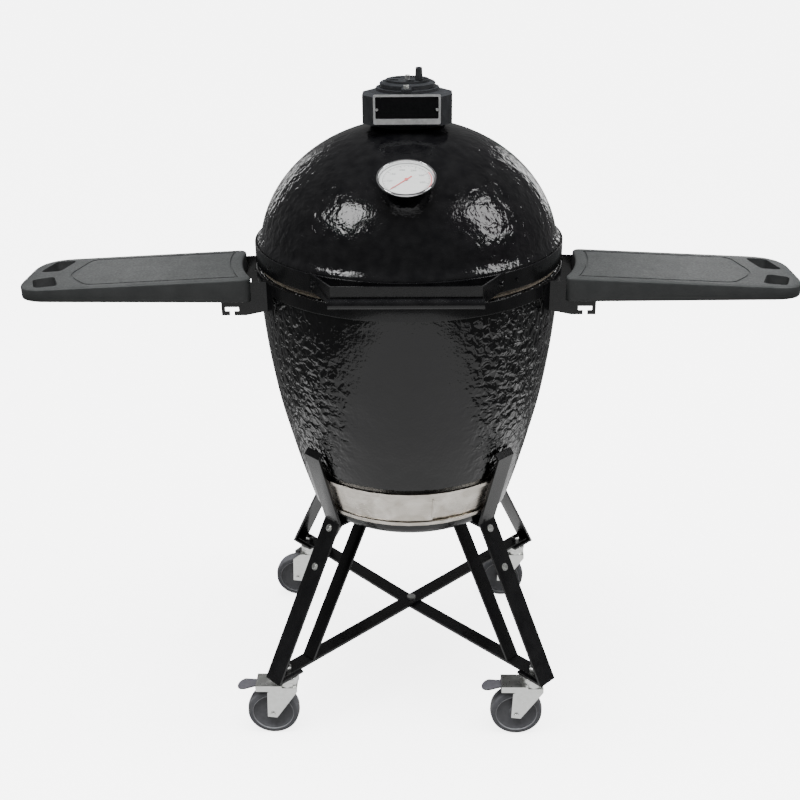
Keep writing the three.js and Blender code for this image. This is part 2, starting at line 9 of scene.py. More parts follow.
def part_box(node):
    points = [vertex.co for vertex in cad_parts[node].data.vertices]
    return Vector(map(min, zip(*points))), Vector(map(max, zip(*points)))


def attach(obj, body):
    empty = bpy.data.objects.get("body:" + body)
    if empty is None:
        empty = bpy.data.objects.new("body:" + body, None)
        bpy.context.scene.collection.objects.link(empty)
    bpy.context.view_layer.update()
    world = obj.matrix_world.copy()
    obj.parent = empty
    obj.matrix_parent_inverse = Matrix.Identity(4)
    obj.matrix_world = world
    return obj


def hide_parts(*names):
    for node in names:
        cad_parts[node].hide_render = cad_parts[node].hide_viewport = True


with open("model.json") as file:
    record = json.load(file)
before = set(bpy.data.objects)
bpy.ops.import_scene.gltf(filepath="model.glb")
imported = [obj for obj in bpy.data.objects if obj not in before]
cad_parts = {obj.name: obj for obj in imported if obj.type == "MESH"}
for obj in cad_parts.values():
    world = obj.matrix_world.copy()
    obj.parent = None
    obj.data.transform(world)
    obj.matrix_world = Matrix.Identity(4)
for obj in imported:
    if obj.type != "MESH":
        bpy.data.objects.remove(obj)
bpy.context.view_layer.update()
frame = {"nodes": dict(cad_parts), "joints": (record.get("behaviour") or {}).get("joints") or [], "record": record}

NODES = frame["nodes"]
RECORD = frame["record"]
BODY_OF = {n: body for body, names in RECORD["behaviour"]["bodies"].items() for n in names}
SLOT_OF = {part["node"]: part["material_slot"] for part in RECORD["subparts"]}
CORNERS = ("front_right", "front_left", "rear_right", "rear_left")

# ---------------------------------------------------------------- dimensions
SEGMENTS = 160                  # around the egg and everything turned on its axis
EGG_R = 0.270
RIM_R = 0.240                   # inside of the walls at both rims
LEDGE_R = 0.230                 # the step under the cooking grate
LEDGE_Z = 0.836
HEARTH_Z = 0.445                # floor of the base
BOWL = [                        # outside of the base from foot to rim: radius, height
    (0.190, 0.418), (0.209, 0.482), (0.227, 0.551), (0.245, 0.629),
    (0.259, 0.718), (0.267, 0.797), (0.270, 0.850),
]
BOWL_INNER = [(0.226, 0.718), (0.214, 0.629), (0.197, 0.551), (0.180, 0.482), (0.166, HEARTH_Z)]
DOME_Z = 0.898
DOME = (0.265, 0.225)           # outside of the lid: half width, height
DOME_INNER = (0.240, 0.200)
NECK_R = 0.060
FLUE_R = 0.048
HOLE = (-34, 8)                 # the draft opening's angles from the front
GAUGE_LIFT = 0.010              # from where its stem leaves the dome to the case
WHEEL_R = 0.050
SHELF_FALL = 0.0495             # how much the shelf drops per metre outwards
SHELF_APRON = (0.044, 0.021)    # its depth next to the egg and at the tip
SHELF_TOP = 0.8864              # its height next to the egg
SHELF_ROOT = 0.262              # where its slope starts and where it ends, outwards from the middle
SHELF_TIP = 0.675
SHELF_ARC = 0.297               # radius of its end next to the egg
EGG_HEART = (0, 0, 0.88)        # the clay that faces this point is bare
DIAL_FACE = 0.00860             # top of the dial and of its printing, along the thermometer's axis
INK_TOP = 0.00868
PEDAL_REACH = 0.0375            # length of the paddle from toe to spindle
FLOOR_GLOW = 4.2                # emission of the three stage surfaces
REFLECTOR_GLOW = 1.15
BACKDROP_GLOW = 6.0


# ---------------------------------------------------------------- materials
class Look:
    """A node material: one Principled shader fed by noise laid out in the grill's own space."""

    def __init__(self, name, colour, roughness, **settings):
        self.material = bpy.data.materials.new(name)
        self.material.use_nodes = True
        self.tree = self.material.node_tree
        self.shader = self.tree.nodes["Principled BSDF"]
        self.space = self.node("ShaderNodeTexCoord").outputs["Object"]
        self.normal = None
        self.set("Base Color", (*colour, 1))
        self.set("Roughness", roughness)
        for socket, value in settings.items():
            self.set(socket.replace("_", " "), value)

    def set(self, socket, value):
        self.shader.inputs[socket].default_value = value

    def node(self, kind):
        return self.tree.nodes.new(kind)

    def link(self, source, target):
        self.tree.links.new(source, target)

    def noise(self, scale, detail=2.0, stretch=(1, 1, 1), distortion=0.0):
        mapping = self.node("ShaderNodeMapping")
        mapping.inputs["Scale"].default_value = stretch
        texture = self.node("ShaderNodeTexNoise")
        texture.inputs["Scale"].default_value = scale
        texture.inputs["Detail"].default_value = detail
        texture.inputs["Distortion"].default_value = distortion
        self.link(self.space, mapping.inputs["Vector"])
        self.link(mapping.outputs["Vector"], texture.inputs["Vector"])
        return texture.outputs["Fac"]

    def place(self, axis):
        split = self.node("ShaderNodeSeparateXYZ")
        self.link(self.space, split.inputs["Vector"])
        return split.outputs[axis]

    def math(self, operation, a, b):
        step = self.node("ShaderNodeMath")
        step.operation = operation
        for socket, value in zip(step.inputs, (a, b)):
            if isinstance(value, (int, float)):
                socket.default_value = value
            else:
                self.link(value, socket)
        return step.outputs["Value"]

    def spread(self, source, low, high, at=(0.3, 0.7)):
        span = self.node("ShaderNodeMapRange")
        span.inputs["From Min"].default_value, span.inputs["From Max"].default_value = at
        span.inputs["To Min"].default_value, span.inputs["To Max"].default_value = low, high
        self.link(source, span.inputs["Value"])
        return span.outputs["Result"]

    def ramp(self, source, dark, light, at=(0.3, 0.7)):
        ramp = self.node("ShaderNodeValToRGB")
        for stop, place, colour in zip(ramp.color_ramp.elements, at, (dark, light)):
            stop.position = place
            stop.color = (*colour, 1)
        self.link(source, ramp.inputs["Fac"])
        return ramp.outputs["Color"]

    def tint(self, source, dark, light, at=(0.3, 0.7)):
        self.link(self.ramp(source, dark, light, at), self.shader.inputs["Base Color"])
        return self

    def facing(self, centre):
        """One where the surface faces a point of the object's own space, zero where it faces away."""
        coordinates = self.node("ShaderNodeTexCoord")
        outwards = self.node("ShaderNodeVectorMath")
        outwards.operation = "SUBTRACT"
        outwards.inputs[1].default_value = centre
        self.link(coordinates.outputs["Object"], outwards.inputs[0])
        along = self.node("ShaderNodeVectorMath")
        along.operation = "DOT_PRODUCT"
        self.link(outwards.outputs["Vector"], along.inputs[0])
        self.link(coordinates.outputs["Normal"], along.inputs[1])
        return self.math("LESS_THAN", along.outputs["Value"], 0)

    def blend(self, factor, a, b, kind):
        """Source a where the factor is zero and b where it is one."""
        mix = self.node("ShaderNodeMix")
        mix.data_type = kind
        places = {"FLOAT": (2, 3, 0), "RGBA": (6, 7, 2)}[kind]
        self.link(factor, mix.inputs[0])
        self.link(a, mix.inputs[places[0]])
        self.link(b, mix.inputs[places[1]])
        return mix.outputs[places[2]]

    def rough(self, source, low, high):
        self.link(self.spread(source, low, high), self.shader.inputs["Roughness"])
        return self

    def bump(self, source, distance, strength=1.0):
        bump = self.node("ShaderNodeBump")
        bump.inputs["Strength"].default_value = strength
        bump.inputs["Distance"].default_value = distance
        self.link(source, bump.inputs["Height"])
        if self.normal:
            self.link(self.normal, bump.inputs["Normal"])
        self.normal = bump.outputs["Normal"]
        self.link(self.normal, self.shader.inputs["Normal"])
        if self.shader.inputs["Coat Weight"].default_value > 0:
            self.link(self.normal, self.shader.inputs["Coat Normal"])
        return self


def glaze():
    """Glossy black outside, and bare clay wherever the surface faces the middle of the egg."""
    look = Look("glaze", (0.003, 0.003, 0.0035), 0.12, Specular_IOR_Level=0.46)
    # The glaze pools into pebbles on the flanks and lies nearly flat in front and on the lid.
    patches = look.spread(look.noise(3.2, 1.0), 0.25, 1.0, at=(0.40, 0.58))
    flanks = look.spread(look.math("ABSOLUTE", look.place("X"), 0), 0.07, 1.0, at=(0.085, 0.150))
    below_rim = look.spread(look.place("Z"), 1.0, 0.30, at=(0.84, 0.90))
    above_foot = look.spread(look.place("Z"), 0.12, 1.0, at=(0.50, 0.64))
    across = look.math("MULTIPLY", patches, flanks)
    upwards = look.math("MULTIPLY", below_rim, above_foot)
    depth = look.math("MULTIPLY", across, upwards)
    look.bump(look.math("MULTIPLY", look.noise(70, 1.6, distortion=0.5), depth), 0.0130)
    look.bump(look.noise(190, 2), 0.0005)
    look.bump(look.noise(14, 2), 0.0030)
    bare = look.facing(EGG_HEART)
    black = look.ramp(look.noise(60, 3), (0.002, 0.002, 0.0025), (0.006, 0.006, 0.0065))
    clay = look.ramp(look.noise(45, 5), (0.34, 0.29, 0.22), (0.50, 0.44, 0.35))
    look.link(look.blend(bare, black, clay, "RGBA"), look.shader.inputs["Base Color"])
    gloss = look.spread(look.noise(30, 3), 0.06, 0.15)
    matt = look.spread(look.noise(90, 3), 0.85, 0.98)
    look.link(look.blend(bare, gloss, matt, "FLOAT"), look.shader.inputs["Roughness"])
    return look


def firebrick():
    look = Look("firebrick", (0.55, 0.47, 0.36), 0.92)
    look.tint(look.noise(45, 5), (0.40, 0.33, 0.25), (0.60, 0.52, 0.41))
    look.rough(look.noise(90, 3), 0.85, 0.98)
    return look.bump(look.noise(650, 4), 0.0006)


def cast_iron():
    look = Look("cast_iron", (0.020, 0.021, 0.023), 0.6, Specular_IOR_Level=0.35)
    look.tint(look.noise(70, 4), (0.014, 0.015, 0.017), (0.030, 0.032, 0.035))
    look.rough(look.noise(140, 3), 0.42, 0.66)
    look.bump(look.noise(900, 3), 0.0006)
    return look.bump(look.noise(190, 3), 0.0007)


def felt():
    look = Look("felt", (0.25, 0.21, 0.15), 1.0, Sheen_Weight=0.4)
    look.tint(look.noise(500, 4), (0.14, 0.115, 0.085), (0.36, 0.30, 0.22))
    look.rough(look.noise(300, 2), 0.9, 1.0)
    return look.bump(look.noise(1500, 4, stretch=(1, 1, 0.4)), 0.0012)


def black_steel():
    look = Look("black_steel", (0.003, 0.003, 0.0035), 0.24,
                Specular_IOR_Level=0.3, Coat_Weight=0.25, Coat_Roughness=0.08)
    look.tint(look.noise(40, 3), (0.002, 0.002, 0.0025), (0.006, 0.006, 0.0065))
    look.rough(look.noise(120, 3), 0.24, 0.32)
    return look.bump(look.noise(520, 2), 0.00010)


def zinc():
    look = Look("zinc", (0.75, 0.76, 0.74), 0.3, Metallic=1.0)
    look.tint(look.noise(120, 3), (0.74, 0.75, 0.72), (0.83, 0.84, 0.82))
    look.rough(look.noise(160, 4), 0.26, 0.38)
    return look.bump(look.noise(900, 2), 0.00015)


def chrome():
    look = Look("chrome", (0.85, 0.85, 0.86), 0.08, Metallic=1.0)
    look.tint(look.noise(60, 2), (0.80, 0.80, 0.81), (0.88, 0.88, 0.89))
    look.rough(look.noise(260, 3), 0.05, 0.15)
    return look.bump(look.noise(700, 2), 0.00005)


def enamel(name, dark, light, roughness, gloss=0.5):
    look = Look(name, light, roughness, Specular_IOR_Level=gloss)
    look.tint(look.noise(240, 3), dark, light)
    look.rough(look.noise(300, 2), roughness - 0.08, roughness + 0.08)
    return look.bump(look.noise(1100, 2), 0.0001)


def plate_metal():
    look = Look("plate_metal", (0.72, 0.73, 0.73), 0.38, Metallic=0.85)
    look.tint(look.noise(160, 3), (0.62, 0.63, 0.63), (0.80, 0.81, 0.81))
    look.rough(look.noise(260, 3), 0.3, 0.48)
    return look.bump(look.noise(900, 2, stretch=(0.1, 1, 1)), 0.00015)


def lens():
    look = Look("lens", (0.95, 0.97, 0.98), 0.03, Alpha=0.05, Coat_Weight=0.3)
    look.rough(look.noise(90, 2), 0.02, 0.05)
    return look.bump(look.noise(40, 1), 0.00005)


def stainless():
    look = Look("stainless", (0.70, 0.66, 0.60), 0.3, Metallic=1.0, Anisotropic=0.5)
    brushing = look.noise(1000, 3, stretch=(0.02, 0.02, 1))
    look.tint(look.noise(26, 4, distortion=1.2), (0.52, 0.48, 0.42), (0.78, 0.74, 0.68))
    look.rough(brushing, 0.2, 0.42)
    look.bump(look.noise(14, 1), 0.0015)
    return look.bump(brushing, 0.00012)


def shelf_plastic():
    look = Look("shelf_plastic", (0.036, 0.038, 0.038), 0.5, Specular_IOR_Level=0.4)
    look.tint(look.noise(35, 4), (0.031, 0.033, 0.033), (0.042, 0.044, 0.044))
    look.rough(look.noise(260, 3), 0.42, 0.58)
    return look.bump(look.noise(1300, 3), 0.00012)


def rubber(name, dark, light):
    look = Look(name, light, 0.6)
    look.tint(look.noise(150, 4), dark, light)
    look.rough(look.noise(300, 3), 0.5, 0.72)
    return look.bump(look.noise(1000, 3), 0.00025)


def printed(name, colour):
    look = Look(name, colour, 0.5)
    look.rough(look.noise(400, 2), 0.42, 0.58)
    return look.bump(look.noise(1200, 2), 0.00004)


LOOKS = {
    "glaze": glaze(),
    "firebrick": firebrick(),
    "cast_iron": cast_iron(),
    "felt": felt(),
    "black_steel": black_steel(),
    "zinc": zinc(),
    "chrome": chrome(),
    "dial_white": enamel("dial_white", (0.46, 0.47, 0.46), (0.52, 0.53, 0.52), 0.45),
    "plate": plate_metal(),
    "needle_red": enamel("needle_red", (0.42, 0.02, 0.02), (0.55, 0.03, 0.03), 0.4),
    "lens": lens(),
    "stainless": stainless(),
    "shelf_plastic": shelf_plastic(),
    "wheel_rubber": rubber("wheel_rubber", (0.085, 0.086, 0.094), (0.108, 0.109, 0.117)),
    "pedal_plastic": rubber("pedal_plastic", (0.060, 0.059, 0.068), (0.078, 0.077, 0.086)),
}
HUB_GREY = rubber("hub_grey", (0.095, 0.096, 0.104), (0.122, 0.123, 0.131))
# The wheel lips are real moulded rings; their pale grey is a painted highlight of their edge.
LIP_PAINTED_HIGHLIGHT = rubber("lip_painted_highlight", (0.24, 0.245, 0.26), (0.30, 0.305, 0.32))
SCALE_INK = printed("scale_ink", (0.030, 0.030, 0.032))
MARK_RED = printed("mark_red", (0.55, 0.03, 0.04))
PANEL_BLACK = enamel("panel_black", (0.003, 0.003, 0.0035), (0.006, 0.006, 0.0065), 0.4, gloss=0.1)


# ---------------------------------------------------------------- mesh tools
def around(angle, radius, z=0.0):
    """A point at an angle around the egg, from the front towards +X."""
    a = math.radians(angle)
    return Vector((radius * math.sin(a), -radius * math.cos(a), z))


def piece(name, bm, look, body, replaces=(), crease=35):
    bmesh.ops.recalc_face_normals(bm, faces=bm.faces[:])
    mesh = bpy.data.meshes.new(name)
    bm.to_mesh(mesh)
    bm.free()
    mesh.shade_smooth()
    mesh.set_sharp_from_angle(angle=math.radians(crease))
    mesh.materials.append(look.material)
    obj = bpy.data.objects.new(name, mesh)
    bpy.context.scene.collection.objects.link(obj)
    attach(obj, body)
    if replaces:
        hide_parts(*replaces)
    return obj


def dressed(node, bevel=0.0008, segments=2, crease=35):
    """The CAD node's own shape with rolled edges, standing for the node."""
    bm = bmesh.new()
    bm.from_mesh(NODES[node].data)
    bmesh.ops.remove_doubles(bm, verts=bm.verts, dist=2e-5)
    bmesh.ops.dissolve_limit(bm, angle_limit=math.radians(1), verts=bm.verts, edges=bm.edges)
    slot = SLOT_OF[node]
    obj = piece(f"{node}_skin", bm, LOOKS[slot], BODY_OF[node], (node,), crease)
    edge = obj.modifiers.new("rolled edges", "BEVEL")
    edge.width = bevel
    edge.segments = segments
    edge.limit_method = "ANGLE"
    edge.angle_limit = math.radians(crease)
    edge.harden_normals = True


def lathe(profile, segments=SEGMENTS, closed=False):
    """A mesh turned about Z from [radius, height] points; a radius of zero closes it on the axis."""
    bm = bmesh.new()
    rings = []
    for radius, z in profile:
        if radius < 1e-6:
            rings.append([bm.verts.new((0, 0, z))])
        else:
            rings.append([bm.verts.new(around(360 * i / segments, radius, z)) for i in range(segments)])
    pairs = list(zip(rings, rings[1:]))
    if closed:
        pairs.append((rings[-1], rings[0]))
    for low, high in pairs:
        for i in range(segments):
            j = (i + 1) % segments
            corners = [low[i % len(low)], low[j % len(low)], high[j % len(high)], high[i % len(high)]]
            corners = list(dict.fromkeys(corners))
            if len(corners) > 2:
                bm.faces.new(corners)
    return bm


def curve_through(points, steps=6):
    """A smooth curve through [u, v] points."""
    smooth = []
    for i in range(len(points) - 1):
        a, b = points[max(i - 1, 0)], points[i]
        c, d = points[i + 1], points[min(i + 2, len(points) - 1)]
        for k in range(steps):
            t = k / steps
            smooth.append(tuple(
                0.5 * (2 * q + (r - p) * t
                       + (2 * p - 5 * q + 4 * r - s) * t * t
                       + (3 * q - p - 3 * r + s) * t ** 3)
                for p, q, r, s in zip(a, b, c, d)
            ))
    return smooth + [points[-1]]


def rounded(corners, steps=4, closed=True):
    """Rounds the corners of an outline given as (u, v, radius)."""
    outline = []
    count = len(corners)
    for i, (u, v, radius) in enumerate(corners):
        ends = not closed and i in (0, count - 1)
        if radius == 0 or ends:
            outline.append((u, v))
            continue
        here = Vector((u, v))
        a = (Vector(corners[i - 1][:2]) - here).normalized()
        b = (Vector(corners[(i + 1) % count][:2]) - here).normalized()
        run = radius / math.tan(math.acos(max(-1, min(1, a.dot(b)))) / 2)
        start, end = here + a * run, here + b * run
        for k in range(steps + 1):
            t = k / steps
            outline.append(tuple(start * (1 - t) ** 2 + here * 2 * t * (1 - t) + end * t * t))
    return outline


def ellipse(size, first, last, steps):
    points = []
    for i in range(steps + 1):
        angle = math.radians(first + (last - first) * i / steps)
        points.append((size[0] * math.cos(angle), DOME_Z + size[1] * math.sin(angle)))
    return points


def prism(outline, z0, z1):
    """A solid of an outline of (x, y) points between two heights."""
    bm = bmesh.new()
    low = [bm.verts.new((x, y, z0)) for x, y in outline]
    high = [bm.verts.new((x, y, z1)) for x, y in outline]
    bm.faces.new(low[::-1])
    bm.faces.new(high)
    for i in range(len(outline)):
        j = (i + 1) % len(outline)
        bm.faces.new((low[i], low[j], high[j], high[i]))
    return bm


def merged(*parts):
    """Several meshes as one."""
    whole = bmesh.new()
    for bm in parts:
        mesh = bpy.data.meshes.new("part")
        bm.to_mesh(mesh)
        bm.free()
        whole.from_mesh(mesh)
        bpy.data.meshes.remove(mesh)
    return whole


def moved(bm, matrix):
    bmesh.ops.transform(bm, matrix=matrix, verts=bm.verts)
    return bm


def carved(obj, *cutters, crease=35):
    """Cuts closed meshes out of a piece for good."""
    tools = []
    for bm in cutters:
        bmesh.ops.recalc_face_normals(bm, faces=bm.faces[:])
        mesh = bpy.data.meshes.new("cutter")
        bm.to_mesh(mesh)
        bm.free()
        tool = bpy.data.objects.new("cutter", mesh)
        bpy.context.scene.collection.objects.link(tool)
        cut = obj.modifiers.new("cut", "BOOLEAN")
        cut.operation = "DIFFERENCE"
        cut.solver = "EXACT"
        cut.object = tool
        tools.append(tool)
    shape = bpy.data.meshes.new_from_object(obj.evaluated_get(bpy.context.evaluated_depsgraph_get()))
    obj.modifiers.clear()
    obj.data = shape
    shape.shade_smooth()
    shape.set_sharp_from_angle(angle=math.radians(crease))
    for tool in tools:
        bpy.data.objects.remove(tool)


def extent(node):
    """Inner radius, outer radius, lowest and highest point of a ring about the egg's axis."""
    points = [v.co for v in NODES[node].data.vertices]
    radii = [math.hypot(p.x, p.y) for p in points]
    heights = [p.z for p in points]
    return min(radii), max(radii), min(heights), max(heights)


# ---------------------------------------------------------------- fasteners
def bolt_head(radius, height, at, axis, sides=6):
    """A bolt's head on a thin washer, its underside at a point and its top along an axis."""
    washer = lathe([(0, 0), (radius * 1.45, 0), (radius * 1.4, height * 0.22), (0, height * 0.22)], 28)
    waist = [(radius, height * 0.22), (radius, height * 0.85), (radius * 0.86, height)]
    head = lathe([(0, height * 0.22), *waist, (0, height)], sides)
    turn = Vector((0, 0, 1)).rotation_difference(Vector(axis)).to_matrix().to_4x4()
    return moved(merged(washer, head), Matrix.Translation(at) @ turn)


def screw_head(radius, height, at, axis):
    """A plain domed screw head, its underside at a point and its top along an axis."""
    dome = [(0, 0), (radius, 0), (radius * 0.9, height * 0.55), (radius * 0.55, height * 0.92), (0, height)]
    turn = Vector((0, 0, 1)).rotation_difference(Vector(axis)).to_matrix().to_4x4()
    return moved(lathe(dome, 24), Matrix.Translation(at) @ turn)


# ---------------------------------------------------------------- egg
def sector_solid(angles, r0, r1, z0, z1, steps=24):
    """A closed block between two angles, two radii and two heights."""
    spread = [angles[0] + (angles[1] - angles[0]) * i / steps for i in range(steps + 1)]
    outer = [tuple(around(a, r1)[:2]) for a in spread]
    inner = [tuple(around(a, r0)[:2]) for a in reversed(spread)]
    return prism(outer + inner, z0, z1)


def egg_base():
    """The base, closed at its foot, with the draft opening cut through its wall."""
    foot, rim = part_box("base_shell")[0].z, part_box("base_shell")[1].z
    heel = BOWL[0][0] - 0.012
    outside = [(0, foot), (heel, foot), *curve_through(BOWL)]
    lip_corners = [(EGG_R, 0.855, 0), (EGG_R, rim, 0.004), (RIM_R, rim, 0.003), (RIM_R, LEDGE_Z, 0)]
    lip = rounded(lip_corners, closed=False)
    inside = [(LEDGE_R, LEDGE_Z), *curve_through(BOWL_INNER), (0, HEARTH_Z)]
    shell = lathe(outside + lip + inside)
    obj = piece("egg_base", shell, LOOKS["glaze"], "stand", ("base_shell",), 40)
    carved(obj, sector_solid(HOLE, 0.14, 0.25, HEARTH_Z + 0.005, 0.502), crease=40)


def egg_lid():
    """The lid, open at the flue, with a bore for the thermometer's stem."""
    bottom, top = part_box("lid_shell")[0].z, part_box("lid_shell")[1].z
    # The wall rises straight behind the band, then rolls over a soft shoulder into the dome.
    shoulder = [(EGG_R, 0.921), (0.2685, 0.9265), (0.2645, 0.9305)]
    dome = ellipse(DOME, 9, 75.2, 40)
    rim = rounded([
        (RIM_R, bottom + 0.01, 0), (RIM_R, bottom, 0.003), (EGG_R, bottom, 0.004), (EGG_R, 0.90, 0),
    ], closed=False)
    swell = [(r, z) for r, z in dome if z > 0.936 and r > NECK_R + 0.007]
    neck = [(NECK_R, 1.1186), (NECK_R, top), (FLUE_R, top)]
    inside = ellipse(DOME_INNER, 78.5, 3, 30)
    profile = rim + shoulder + swell + neck + inside
    obj = piece("egg_lid", lathe(profile, closed=True), LOOKS["glaze"], "lid", ("lid_shell",), 40)
    bore = moved(lathe([(0, -0.06), (0.0042, -0.06), (0.0042, 0.02), (0, 0.02)], 16), GAUGE)
    carved(obj, bore, crease=40)


def egg_rings():
    """The felt gaskets and the steel bands on both rims."""
    corners = {"base_gasket": 0.0012, "lid_gasket": 0.0012, "base_band": 0.0009, "lid_band": 0.0009}
    for node, corner in corners.items():
        inner, outer, low, high = extent(node)
        box = [(inner, low, corner), (outer, low, corner), (outer, high, corner), (inner, high, corner)]
        slot = SLOT_OF[node]
        ring = lathe(rounded(box, 3), closed=True)
        piece(f"{node}_ring", ring, LOOKS[slot], BODY_OF[node], (node,), 50)


def band_bolts():
    """Low black bolts round both bands."""
    places = {"lid_band": (-59, 41, 122, -122), "base_band": (-84, 64, 135, -135)}
    for node, angles in places.items():
        outer, low, high = extent(node)[1:]
        height = (low + high) / 2
        heads = [bolt_head(0.0032, 0.0028, around(a, outer, height), around(a, 1)) for a in angles]
        bolts = merged(*heads)
        piece(f"{node}_bolts", bolts, LOOKS["black_steel"], BODY_OF[node], crease=30)


def gauge_frame():
    """The thermometer's own frame: origin where its stem leaves the dome, +Z out along its axis."""
    joint = next(j for j in frame["joints"] if j["name"] == "needle_turn")
    out = -Vector(joint["axis"])
    side = Vector((1, 0, 0))
    up = out.cross(side)
    turn = Matrix((side, up, out)).transposed().to_4x4()
    return Matrix.Translation(joint["pos_m"]) @ turn


GAUGE = gauge_frame()
GAUGE_FACE = GAUGE @ Matrix.Translation((0, 0, GAUGE_LIFT))
egg_base()
egg_lid()
egg_rings()
band_bolts()


# ---------------------------------------------------------------- thermometer
def gauge_case():
    shell = [(0, 0.0034, 0), (0.033, 0.0034, 0.003), (0.0475, 0.0112, 0.002), (0.0475, 0.0150, 0.0016)]
    well = [(0.0440, 0.0150, 0.0012), (0.0435, 0.0074, 0.001), (0, 0.0074, 0)]
    profile = rounded(shell + well, 5, closed=False)
    case = moved(lathe(profile, 96), GAUGE_FACE)
    piece("gauge_case", case, LOOKS["chrome"], "lid", ("thermometer_case",), 60)


def gauge_dial():
    corners = [(0, 0.0077, 0), (0.0432, 0.0077, 0.0002), (0.0432, DIAL_FACE, 0.0003), (0, DIAL_FACE, 0)]
    dial = moved(lathe(rounded(corners, 3, closed=False), 96), GAUGE_FACE)
    piece("gauge_dial", dial, LOOKS["dial_white"], "lid", ("thermometer_dial",))


def dial_mark(angle, r0, r1, width):
    """A printed bar on the dial, running outwards at an angle clockwise from the top."""
    strip = prism([(-width / 2, r0), (width / 2, r0), (width / 2, r1), (-width / 2, r1)], DIAL_FACE, INK_TOP)
    return moved(strip, GAUGE_FACE @ Matrix.Rotation(-math.radians(angle), 4, "Z"))


def dial_arc(first, last, r0, r1):
    """A printed arc on the dial, between angles clockwise from the top."""
    steps = 40
    turns = [math.radians(first + (last - first) * i / steps) for i in range(steps + 1)]
    outline = [(r1 * math.sin(a), r1 * math.cos(a)) for a in turns]
    outline += [(r0 * math.sin(a), r0 * math.cos(a)) for a in reversed(turns)]
    return moved(prism(outline, DIAL_FACE, INK_TOP), GAUGE_FACE)


def dial_number(text, angle, radius, size):
    """A printed number, upright on the dial, at an angle clockwise from the top."""
    words = bpy.data.curves.new("number", "FONT")
    words.body = text
    words.size = size
    words.align_x = "CENTER"
    words.align_y = "CENTER"
    words.extrude = 0.00004
    words.resolution_u = 3
    holder = bpy.data.objects.new("number", words)
    bpy.context.scene.collection.objects.link(holder)
    bpy.context.view_layer.update()
    shape = bpy.data.meshes.new_from_object(holder.evaluated_get(bpy.context.evaluated_depsgraph_get()))
    bm = bmesh.new()
    bm.from_mesh(shape)
    bpy.data.objects.remove(holder)
    bpy.data.meshes.remove(shape)
    a = math.radians(angle)
    place = Matrix.Translation((radius * math.sin(a), radius * math.cos(a), 0.00865))
    return moved(bm, GAUGE_FACE @ place)


def gauge_scale():
    marks = [dial_arc(-135, 135, 0.0372, 0.0377)]
    for step in range(28):
        angle = -135 + step * 10
        long = step % 4 == 0
        marks.append(dial_mark(angle, 0.0322 if long else 0.0345, 0.0374, 0.0009 if long else 0.0005))
    for step in range(7):
        angle = -135 + step * 40
        marks.append(dial_number(str(50 + step * 50), angle, 0.0265, 0.0062))
    piece("gauge_scale", merged(*marks), SCALE_INK, "lid", crease=30)
    hot = dial_arc(60, 132, 0.0392, 0.0410)
    piece("gauge_hot_zone", hot, MARK_RED, "lid", crease=30)


gauge_case()
gauge_dial()
gauge_scale()


# ---------------------------------------------------------------- chimney cap
def name_plate():
    """A light frame round a plain black panel, with no lettering, over a plain lower strip."""
    low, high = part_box("name_plate")
    border, strip = 0.0034, 0.0092
    panel = (low.x + border, high.x - border, low.z + strip, high.z - border)
    corner = 0.003
    outer = rounded([
        (low.x, low.z, corner), (high.x, low.z, corner), (high.x, high.z, corner), (low.x, high.z, corner),
    ])
    upright = Matrix.Translation((0, high.y, 0)) @ Matrix.Rotation(math.radians(90), 4, "X")
    depth = high.y - low.y
    frame_solid = moved(prism(outer, 0, depth), upright)
    body = piece("name_plate_frame", frame_solid, LOOKS["plate"], "lid", ("name_plate",), 30)
    x0, x1, z0, z1 = panel
    well = rounded([(x0, z0, 0.002), (x1, z0, 0.002), (x1, z1, 0.002), (x0, z1, 0.002)])
    carved(body, moved(prism(well, depth - 0.0010, depth + 0.001), upright), crease=30)
    face = [(x0 + 0.0002, z0 + 0.0002, 0.002), (x1 - 0.0002, z0 + 0.0002, 0.002)]
    face += [(x1 - 0.0002, z1 - 0.0002, 0.002), (x0 + 0.0002, z1 - 0.0002, 0.002)]
    panel_solid = moved(prism(rounded(face), depth - 0.0009, depth - 0.0004), upright)
    piece("name_plate_panel", panel_solid, PANEL_BLACK, "lid", crease=30)
    middle = (low.z + high.z) / 2
    rivets = [
        screw_head(0.0026, 0.0014, (x, low.y + 0.0004, middle), (0, -1, 0))
        for x in (low.x + 0.0058, high.x - 0.0058)
    ]
    piece("name_plate_rivets", merged(*rivets), LOOKS["zinc"], "lid", crease=30)


def vent_knob():
    """The daisy wheel's tapered knob."""
    low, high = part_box("damper_knob")
    middle = (low + high) / 2
    radius, height = (high.x - low.x) / 2, high.z - low.z
    shape = [
        (0, 0, 0), (radius, 0, 0.0008), (radius * 0.98, height * 0.3, 0.004),
        (radius * 0.86, height, 0.0025), (0, height, 0),
    ]
    bm = moved(lathe(rounded(shape, 5, closed=False), 48), Matrix.Translation((middle.x, middle.y, low.z)))
    piece("vent_knob", bm, LOOKS["cast_iron"], "daisy", ("damper_knob",), 50)


def cap_bolt(node, body):
    """A hex bolt standing where its plain CAD bolt stands."""
    low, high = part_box(node)
    middle = (low + high) / 2
    radius = (high.x - low.x) / 2
    shoulder = high.z - (0.0055 if node == "damper_pivot_bolt" else 0.0058)
    shank = lathe([(0, low.z), (0.0026, low.z), (0.0026, shoulder), (0, shoulder)], 24)
    waist = [(radius * 0.96, shoulder), (radius * 0.96, high.z - 0.001), (radius * 0.8, high.z)]
    head = lathe([(0, shoulder), *waist, (0, high.z)], 6)
    bm = moved(merged(shank, head), Matrix.Translation((middle.x, middle.y, 0)))
    piece(f"{node}_hex", bm, LOOKS["zinc"], body, (node,), 30)


dressed("cap_housing", 0.0022, 3)
dressed("damper_disc", 0.0008)
dressed("daisy_wheel", 0.0006)
name_plate()
vent_knob()
cap_bolt("damper_pivot_bolt", "lid")
cap_bolt("daisy_bolt", "damper")


